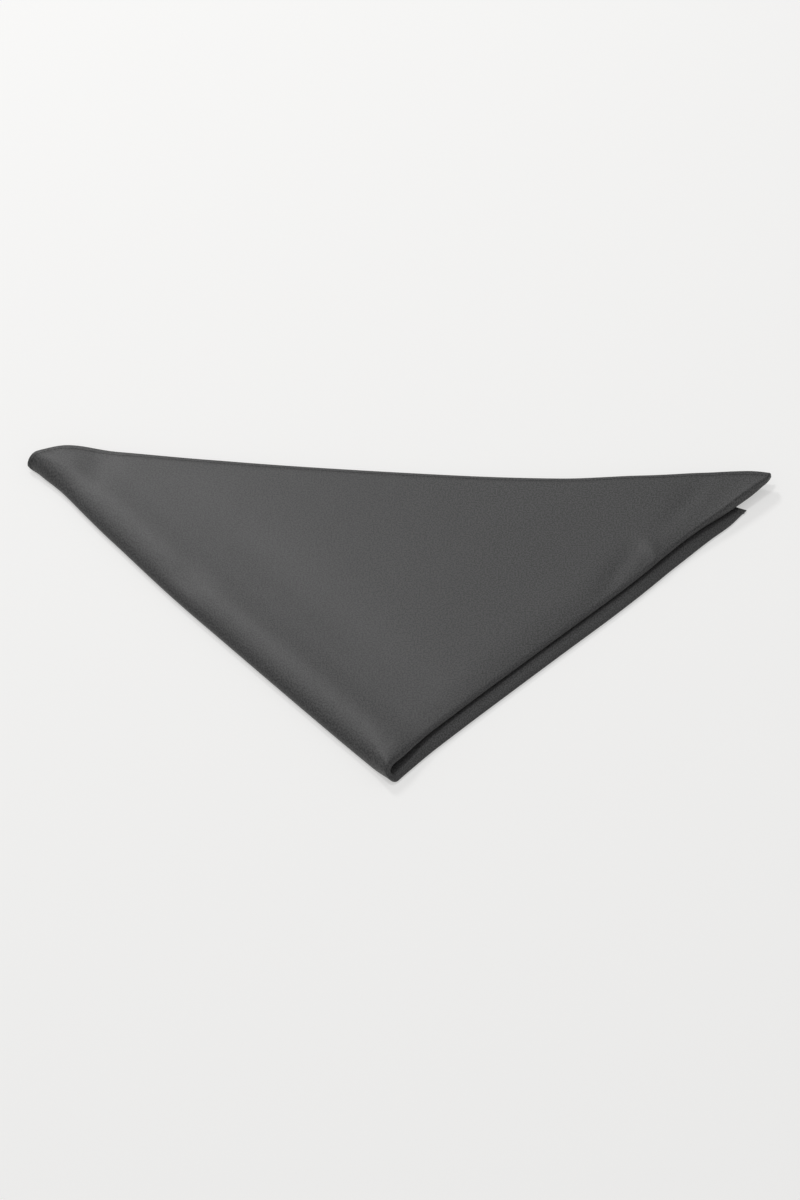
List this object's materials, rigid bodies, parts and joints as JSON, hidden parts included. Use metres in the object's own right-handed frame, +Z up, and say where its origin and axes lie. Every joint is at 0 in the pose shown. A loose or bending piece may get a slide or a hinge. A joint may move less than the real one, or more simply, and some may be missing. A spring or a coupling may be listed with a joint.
{
  "type": "neckerchief",
  "caption": "Plain square neckerchief with a narrow hem, folded corner to corner twice into a triangle and laid flat.",
  "frame": {"origin": "middle of the box round the folded cloth, on the plane it rests on", "axes": "+X along the long hemmed side towards the tip with the open flaps, -Y towards the right-angled point, +Z up"},
  "size_m": [0.5944, 0.3216, 0.0125],
  "materials": {
    "cloth": "plain fine weave, dark grey, soft sheen"
  },
  "bodies": {
    "root": {"kerchief_cloth": "cloth"}
  },
  "joints": []
}
